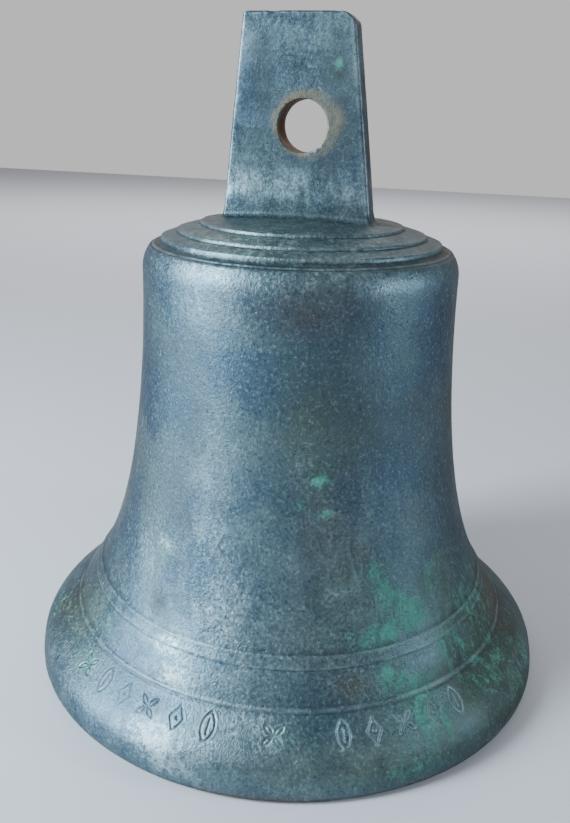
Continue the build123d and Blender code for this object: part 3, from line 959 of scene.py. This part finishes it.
def makeClevis(c):
    half, ear = c["forkHalfWidth"], c["earRadius"]
    fork = addObject("clapperClevis", roundBar(ear, -half, half, 1.2, axis="Y", middle=(0, pivotHeight)))
    combine(fork, block((-ear, -half, pivotHeight), (ear, half, c["bridgeTop"])), "UNION")
    combine(fork, roundBar(6.6, c["bridgeTop"] - 2, c["bridgeTop"] + 1.2, 1.0), "UNION")
    slotHalf = c["slotHalfWidth"] + 0.1
    combine(fork, block((-20, -slotHalf, pivotHeight - 20), (20, slotHalf, c["bridgeFoot"])), "DIFFERENCE")
    forge(fork, 0.5, 4, 0.16, 6, 11)
    combine(fork, roundBar(c["holeRadius"], -20, 20, axis="Y", middle=(0, pivotHeight)), "DIFFERENCE")
    # the thread, as rings that rise a pitch apart
    crest = c["shankRadius"]
    root = crest - c["threadDepth"]
    outline = [(root, c["bridgeTop"] + 0.4)]
    height = c["bridgeTop"] + 1.4
    while height < c["shankTop"] - c["threadPitch"]:
        outline += [(root, height), (crest, height + 0.6), (crest, height + 0.85)]
        height += c["threadPitch"]
    outline += [(root, height), (crest - 1.2, c["shankTop"])]
    combine(fork, lathe(outline, 48), "UNION")
    return finishPiece(fork, "bell", "clapper_clevis")


shaft = {
    "eyeRadius": 8.4,
    "eyeHalfThickness": 3.95,
    "holeRadius": 4.12,
    "topRadius": 4.0,
    "footRadius": 5.3,
    "collarRadius": 7.5,
    "collarTop": 54.0,
    "collarFoot": 50.0,
    "tipRadius": 3.9,
    "tipFoot": 15.2,
}


def makeShaft(s):
    tip, collar, foot = s["tipRadius"], s["collarRadius"], s["footRadius"]
    low, high = s["collarFoot"], s["collarTop"]
    outline = [(tip - 0.5, s["tipFoot"]), (tip, s["tipFoot"] + 0.6), (tip, low),
               (collar - 0.6, low), (collar, low + 0.7), (collar, high - 1)]
    outline += curve(outline[-1], (collar, high + 1), (foot + 0.2, high), (foot, high + 5), 6)
    outline += straight(outline[-1], (s["topRadius"], pivotHeight - 9), 20)
    outline += curve(outline[-1], (s["topRadius"], pivotHeight - 5), (s["topRadius"], pivotHeight - 3),
                     (s["topRadius"], pivotHeight), 4)
    rod = addObject("clapperShaft", lathe(outline, 40))
    half = s["eyeHalfThickness"]
    combine(rod, roundBar(s["eyeRadius"], -half, half, 1.0, axis="Y", middle=(0, pivotHeight)), "UNION")
    mesh = forge(rod, 0.55, 3, 0.22, 9, 21)
    # the threaded tip keeps its turned size, so that it clears the ball
    points = readPoints(mesh)
    onTip = points[:, 2] < low - 0.3
    reach = np.hypot(points[:, 0], points[:, 1])
    limit = np.where(onTip, np.minimum(1, tip / np.maximum(reach, 1e-6)), 1)
    points[:, :2] *= limit[:, None]
    writePoints(mesh, points)
    combine(rod, roundBar(s["holeRadius"], -20, 20, axis="Y", middle=(0, pivotHeight)), "DIFFERENCE")
    return finishPiece(rod, "clapper", "clapper_shaft")


ball = {
    "middle": 35.0,
    "radius": 16.95,
    "halfHeight": 14.95,
    "boreRadius": 4.1,
    "edge": 0.8,
    "strikeFlat": 0.45,  # how far the bell has worn the ball flat on each side
}


def makeBall(s):
    radius, half, edge = s["radius"], s["halfHeight"], s["edge"]
    flatRadius = math.sqrt(radius ** 2 - half ** 2)
    outline = [(s["boreRadius"], -half + 0.5), (s["boreRadius"] + 0.5, -half), (flatRadius - edge, -half)]
    lowest = -math.asin(half / radius)
    for t in np.linspace(0.04, 0.96, 34):
        angle = lowest + (-2 * lowest) * t
        outline.append((radius * math.cos(angle), radius * math.sin(angle)))
    outline += [(flatRadius - edge, half), (s["boreRadius"] + 0.5, half), (s["boreRadius"], half - 0.5)]
    outline = [(r, z + s["middle"]) for r, z in outline]
    bob = addObject("clapperBall", lathe(outline, 96, closed=True))
    mesh = bob.data
    points, normals = readPoints(mesh), readNormals(mesh)
    fromBore = smoothStep(5.5, 8, np.hypot(points[:, 0], points[:, 1]))
    marks = (bumpy(points, 11, 2, 31) * 0.14 + bumpy(points, 3, 2, 32) * 0.04 - 0.1) * fromBore
    points += normals * marks[:, None]
    limit = radius - s["strikeFlat"]
    points[:, 0] = np.clip(points[:, 0], -limit, limit)
    writePoints(mesh, points)
    struck = smoothStep(limit - 1.4, limit - 0.1, np.abs(points[:, 0]))
    writeMask(mesh, "struck", struck * (0.75 + 0.5 * bumpy(points, 3, 2, 33)))
    return finishPiece(bob, "clapper", "clapper_ball")


eye = {
    "ringRadius": 6.3,
    "holeRadius": 3.3,
    "halfThickness": 3.15,
    "height": 9.4,
    "neckRadius": 5.5,
    "neckTop": 19.95,
    "boreRadius": 4.08,
    "boreFoot": 14.95,
}


def makeLanyardEye(e):
    half = e["halfThickness"]
    nut = addObject("lanyardEye", roundBar(e["neckRadius"], e["height"] + 2, e["neckTop"], 0.6))
    combine(nut, roundBar(e["ringRadius"], -half, half, 1.0, axis="Y", middle=(0, e["height"])), "UNION")
    forge(nut, 0.42, 4, 0.08, 5, 41)
    combine(nut, roundBar(e["holeRadius"], -20, 20, axis="Y", middle=(0, e["height"])), "DIFFERENCE")
    combine(nut, roundBar(e["boreRadius"], e["boreFoot"], e["neckTop"] + 5), "DIFFERENCE")
    return finishPiece(nut, "clapper", "lanyard_eye")


splitPin = {
    "y": 12.6,
    "wireRadius": 0.5,
    "legHalfGap": 0.48,
    "loopRadius": 1.75,
    "loopHeight": 6.9,  # above the pivot
    "legDrop": 5.0,
    "legReach": 3.1,
}


def makeSplitPin(p):
    # one wire: up one leg, round the loop and down the other leg
    loop, gap, drop = p["loopHeight"], p["legHalfGap"], p["legDrop"]
    leg = [(-p["legReach"], -drop - 1.3), (-gap - 1.2, -drop - 0.8), (-gap, -drop + 0.9),
           (-gap, -2.0), (-gap, 2.0), (-gap, loop - p["loopRadius"] - 0.4)]
    route = list(leg)
    for angle in np.radians((215, 180, 145, 110, 70, 35, 0, -35)):
        route.append((p["loopRadius"] * math.cos(angle), loop + p["loopRadius"] * math.sin(angle)))
    route += [(-x, z) for x, z in reversed(leg)]
    data = bpy.data.curves.new("splitPin", "CURVE")
    data.dimensions = "3D"
    data.bevel_depth = p["wireRadius"] * mm
    data.bevel_resolution = 5
    data.resolution_u = 8
    data.use_fill_caps = True
    spline = data.splines.new("NURBS")
    spline.points.add(len(route) - 1)
    for point, (x, z) in zip(spline.points, route):
        point.co = (x * mm, p["y"] * mm, (pivotHeight + z) * mm, 1)
    spline.order_u = 3
    spline.use_endpoint_u = True
    wire = bpy.data.objects.new("splitPinCurve", data)
    bpy.context.scene.collection.objects.link(wire)
    mesh = bpy.data.meshes.new_from_object(wire.evaluated_get(bpy.context.evaluated_depsgraph_get()))
    bpy.data.objects.remove(wire)
    return finishPiece(addObject("splitPin", mesh), "bell", "split_pin")


clapperClevis = makeClevis(clevis)
clapperShaft = makeShaft(shaft)
clapperBall = makeBall(ball)
lanyardEye = makeLanyardEye(eye)
splitPinPiece = makeSplitPin(splitPin)


# Materials.

class Recipe:  # a short way to write a material's nodes
    def __init__(self, name):
        self.material = bpy.data.materials.new(name)
        self.material.use_nodes = True
        self.nodes = self.material.node_tree.nodes
        self.links = self.material.node_tree.links
        self.shader = self.nodes["Principled BSDF"]
        self.place = self.add("ShaderNodeTexCoord").outputs["Object"]

    def add(self, kind, inputs=(), **options):
        node = self.nodes.new(kind)
        for key, value in options.items():
            setattr(node, key, value)
        for key, value in dict(inputs).items():
            self.feed(node.inputs[key], value)
        return node

    def feed(self, socket, value):
        if isinstance(value, bpy.types.NodeSocket):
            self.links.new(value, socket)
        else:
            socket.default_value = value

    def mask(self, name):
        return self.add("ShaderNodeAttribute", attribute_name=name).outputs["Fac"]

    def grain(self, size, detail=3.0, rough=0.55, stretch=None, warp=0.0):
        place = self.place
        if stretch:
            mapping = self.add("ShaderNodeMapping", {"Vector": place, "Scale": stretch})
            place = mapping.outputs["Vector"]
        settings = {"Vector": place, "Scale": 1 / (size * mm), "Detail": detail, "Roughness": rough,
                    "Distortion": warp}
        return self.add("ShaderNodeTexNoise", settings).outputs["Fac"]

    def cells(self, size, place=None, feature="F1"):
        settings = {"Vector": self.place if place is None else place, "Scale": 1 / (size * mm)}
        return self.add("ShaderNodeTexVoronoi", settings, feature=feature).outputs["Distance"]

    def math(self, operation, first, second=0.0, clamp=False):
        node = self.add("ShaderNodeMath", {0: first, 1: second}, operation=operation, use_clamp=clamp)
        return node.outputs[0]

    def span(self, value, low, high, toLow=0.0, toHigh=1.0):
        node = self.add("ShaderNodeMapRange", {"Value": value, "From Min": low, "From Max": high,
                                               "To Min": toLow, "To Max": toHigh},
                        interpolation_type="SMOOTHSTEP")
        return node.outputs["Result"]

    def broken(self, name, grain, low, high, least, most):  # a mask that the grain breaks up
        return self.math("MULTIPLY", self.mask(name), self.span(grain, low, high, least, most), clamp=True)

    def blend(self, factor, first, second):
        node = self.add("ShaderNodeMix", data_type="RGBA", clamp_factor=True)
        self.feed(node.inputs[0], factor)
        self.feed(node.inputs[6], first)
        self.feed(node.inputs[7], second)
        return node.outputs[2]

    def bump(self, height, distance, strength=1.0, normal=None):
        node = self.add("ShaderNodeBump", {"Height": height, "Distance": distance * mm, "Strength": strength})
        if normal is not None:
            self.links.new(normal, node.inputs["Normal"])
        return node.outputs["Normal"]

    def finish(self, colour, roughness, metallic, normal=None):
        self.feed(self.shader.inputs["Base Color"], colour)
        self.feed(self.shader.inputs["Roughness"], roughness)
        self.feed(self.shader.inputs["Metallic"], metallic)
        if normal is not None:
            self.links.new(normal, self.shader.inputs["Normal"])
        return self.material


def paint(red, green, blue):
    return (red, green, blue, 1.0)


bronze = {
    "deepBlue": paint(0.054, 0.098, 0.142),
    "slate": paint(0.094, 0.150, 0.180),
    "olive": paint(0.100, 0.138, 0.098),
    "greenTint": paint(0.050, 0.150, 0.110),
    # brown for thin patina, and for the painted reflection of a warm room
    "brownAndRoomReflection": paint(0.096, 0.070, 0.052),
    "dullAndShade": paint(0.022, 0.030, 0.032),
    "paleBloom": paint(0.30, 0.44, 0.48),
    "verdigris": paint(0.080, 0.31, 0.245),
    "salt": paint(0.46, 0.60, 0.62),
    # near black for dull patina, and for painted shade on the side away from the window lamp
    "wornMetal": paint(0.30, 0.38, 0.40),
    "rubbed": paint(0.135, 0.120, 0.088),
    "boltWall": paint(0.085, 0.040, 0.022),
    "darkHollow": paint(0.022, 0.032, 0.036),
    "paintedRoomReflection": paint(0.43, 0.32, 0.26),  # warm tint on the glancing reflections: a painted reflection of a brown room wall
}


def makeBronze(c):
    r = Recipe("agedBronze")
    clouds = r.grain(30, 4, 0.6, warp=0.4)
    mottle = r.grain(8, 5, 0.68, warp=0.3)
    streaks = r.grain(7, 4, 0.6, stretch=(1.0, 1.0, 0.45), warp=1.1)
    speckle = r.grain(1.3, 3, 0.7)
    dust = r.grain(0.7, 2, 0.6)
    colour = r.blend(r.span(clouds, 0.36, 0.64), c["deepBlue"], c["slate"])
    oliveness = r.broken("olive", mottle, 0.25, 0.7, 0.55, 1.1)
    oliveness = r.math("MAXIMUM", oliveness, r.span(mottle, 0.54, 0.76, 0, 0.35))
    colour = r.blend(r.math("MULTIPLY", oliveness, 0.8), colour, c["olive"])
    # dark, matte patches; the broad ones on the side away from the window lamp are painted shade
    dullnessAndShade = r.broken("dullAndShade", clouds, 0.3, 0.7, 0.6, 0.95)
    colour = r.blend(r.math("MULTIPLY", dullnessAndShade, 0.75), colour, c["dullAndShade"])
    # brown where the patina is thin, and along the outline seen from the show side a painted reflection of a warm
    # room
    brownAndReflection = r.broken("brownAndRoomReflection", mottle, 0.25, 0.6, 0.45, 1.1)
    colour = r.blend(r.math("MULTIPLY", brownAndReflection, 0.75), colour, c["brownAndRoomReflection"])
    # a pale bloom that follows the grain
    bloom = r.broken("pale", streaks, 0.32, 0.68, 0.15, 1.0)
    bloom = r.math("MULTIPLY", bloom, r.span(speckle, 0.35, 0.65, 0.35, 0.95))
    colour = r.blend(bloom, colour, c["paleBloom"])
    # verdigris, in streaky crusts
    crust = r.math("ADD", r.mask("green"), r.span(streaks, 0.32, 0.68, -0.62, 0.16))
    crust = r.math("ADD", crust, r.span(r.grain(2.6, 4, 0.7), 0.32, 0.68, -0.34, 0.22))
    verdigris = r.span(crust, 0.02, 1.35, 0, 0.78)
    tint = r.broken("green", streaks, 0.3, 0.7, 0.1, 0.75)
    colour = r.blend(tint, colour, c["greenTint"])
    colour = r.blend(verdigris, colour, c["verdigris"])
    # salt, in broken patches where the bloom is strong
    calmPlate = r.span(r.mask("plate"), 0, 1, 1.0, 0.4)
    salt = r.math("ADD", r.mask("pale"), r.span(r.grain(2.2, 4, 0.75), 0.3, 0.7, -0.75, 0.35))
    salt = r.math("MULTIPLY", r.span(salt, 0.35, 1.1, 0, 0.5), calmPlate)
    colour = r.blend(salt, colour, c["salt"])
    # broad dark clouds on the plate, then fine light and dark specks all over
    clouded = r.broken("plate", r.grain(13, 4, 0.6, warp=0.6), 0.36, 0.62, 0.05, 0.5)
    colour = r.blend(clouded, colour, c["dullAndShade"])
    specks = r.math("MULTIPLY", r.span(speckle, 0.52, 0.76, 0, 0.42), calmPlate)
    colour = r.blend(specks, colour, c["wornMetal"])
    colour = r.blend(r.span(speckle, 0.46, 0.26, 0, 0.55), colour, c["darkHollow"])
    colour = r.blend(r.span(dust, 0.44, 0.26, 0, 0.5), colour, c["darkHollow"])
    # a few fine scratches in two directions
    for lean, size in ((0.9, 26), (-0.5, 37)):
        mapping = r.add("ShaderNodeMapping", {"Vector": r.place, "Rotation": (0.3, lean, 0.4),
                                              "Scale": (1.0, 1.0, 5.0)})
        lines = r.cells(size, mapping.outputs["Vector"], "DISTANCE_TO_EDGE")
        broken = r.math("MULTIPLY", r.span(lines, 0.012, 0.003), r.span(streaks, 0.58, 0.70, 0, 0.35))
        colour = r.blend(broken, colour, c["wornMetal"])
    # worn edges, filled stamps, darker hollows and the rubbed ring round the bolt hole
    wornEdge = r.broken("worn", mottle, 0.36, 0.62, 0.0, 1.0)
    colour = r.blend(r.math("MULTIPLY", wornEdge, 0.28), colour, c["wornMetal"])
    filled = r.broken("filled", mottle, 0.3, 0.6, 0.25, 0.8)
    colour = r.blend(filled, colour, c["paleBloom"])
    hollow = r.broken("hollow", mottle, 0.3, 0.6, 0.6, 1.0)
    colour = r.blend(r.math("MULTIPLY", hollow, 0.7), colour, c["darkHollow"])
    rubbed = r.broken("rubbed", mottle, 0.3, 0.62, 0.25, 0.9)
    colour = r.blend(rubbed, colour, c["rubbed"])
    colour = r.blend(r.mask("boltWall"), colour, c["boltWall"])
    colour = r.blend(r.math("MULTIPLY", r.mask("inside"), 0.7), colour, c["olive"])
    roughness = r.span(mottle, 0.3, 0.7, 0.34, 0.46)
    roughness = r.math("ADD", roughness, r.span(speckle, 0.4, 0.75, -0.04, 0.12))
    roughness = r.math("ADD", roughness, r.math("MULTIPLY", dullnessAndShade, 0.26))
    roughness = r.math("ADD", roughness, r.math("MULTIPLY", oliveness, 0.06))
    roughness = r.math("ADD", roughness, r.math("MULTIPLY", verdigris, 0.3), clamp=True)
    metallic = r.math("SUBTRACT", 0.80, r.math("MULTIPLY", dullnessAndShade, 0.3))
    metallic = r.math("SUBTRACT", metallic, r.math("MULTIPLY", verdigris, 0.7), clamp=True)
    # the sandy grain of the casting, with small pits
    pits = r.span(r.cells(3.4), 0.10, 0.30)
    height = r.math("ADD", r.math("MULTIPLY", speckle, 1.2), r.math("MULTIPLY", dust, 0.6))
    height = r.math("ADD", height, r.math("MULTIPLY", r.grain(3.2, 3, 0.6), 0.35))
    height = r.math("ADD", height, r.math("MULTIPLY", pits, 0.2))
    height = r.math("ADD", height, r.math("MULTIPLY", verdigris, 0.4))
    height = r.math("MULTIPLY", height, r.span(r.mask("plate"), 0, 1, 1.0, 0.5))
    r.shader.inputs["Specular Tint"].default_value = c["paintedRoomReflection"]
    return r.finish(colour, roughness, metallic, r.bump(height, 0.21, 0.85))


iron = {
    "dark": paint(0.045, 0.040, 0.037),
    "scale": paint(0.10, 0.085, 0.075),
    "rust": paint(0.17, 0.075, 0.035),
    "bright": paint(0.28, 0.27, 0.26),
}

steel = dict(iron, dark=paint(0.09, 0.085, 0.08), scale=paint(0.17, 0.16, 0.15))


def makeIron(name, c, rustiness=0.5, shine=0.0):
    r = Recipe(name)
    mottle = r.grain(6, 4, 0.65)
    fine = r.grain(0.9, 3, 0.65)
    patches = r.grain(15, 3, 0.6, warp=0.5)
    colour = r.blend(r.span(mottle, 0.35, 0.65), c["dark"], c["scale"])
    rust = r.span(r.math("ADD", patches, r.span(fine, 0.3, 0.7, -0.12, 0.12)), 0.5, 0.66, 0, rustiness)
    colour = r.blend(rust, colour, c["rust"])
    struck = r.broken("struck", fine, 0.3, 0.6, 0.5, 1.0)
    colour = r.blend(r.span(fine, 0.58, 0.75, 0, 0.3 + shine), colour, c["bright"])
    colour = r.blend(struck, colour, c["bright"])
    roughness = r.span(mottle, 0.3, 0.7, 0.42 - shine * 0.4, 0.62)
    roughness = r.math("ADD", roughness, r.math("MULTIPLY", rust, 0.35), clamp=True)
    metallic = r.math("SUBTRACT", 0.85, rust, clamp=True)
    height = r.math("ADD", r.math("MULTIPLY", mottle, 1.0), r.math("MULTIPLY", fine, 0.5))
    return r.finish(colour, roughness, metallic, r.bump(height, 0.12, 0.7))


tarnishedBrass = {
    "dark": paint(0.13, 0.09, 0.045),
    "scale": paint(0.26, 0.19, 0.09),
    "rust": paint(0.10, 0.20, 0.15),
    "bright": paint(0.48, 0.38, 0.2),
}

agedBronze = makeBronze(bronze)
forgedIron = makeIron("forgedIron", iron, 0.6)
turnedSteel = makeIron("turnedSteel", steel, 0.3, 0.25)
drawnBrass = makeIron("drawnBrass", tarnishedBrass, 0.3, 0.15)

pieceFinish = {
    bellCasting: agedBronze,
    clapperClevis: forgedIron,
    clapperShaft: forgedIron,
    clapperBall: forgedIron,
    lanyardEye: turnedSteel,
    splitPinPiece: drawnBrass,
    frame["nodes"]["clevis_washer"]: turnedSteel,
    frame["nodes"]["clevis_lock_nut"]: turnedSteel,
    frame["nodes"]["pivot_pin"]: turnedSteel,
    frame["nodes"]["pin_washer"]: turnedSteel,
}
for piece, material in pieceFinish.items():
    piece.data.materials.clear()
    piece.data.materials.append(material)
print("stage: materials are on")
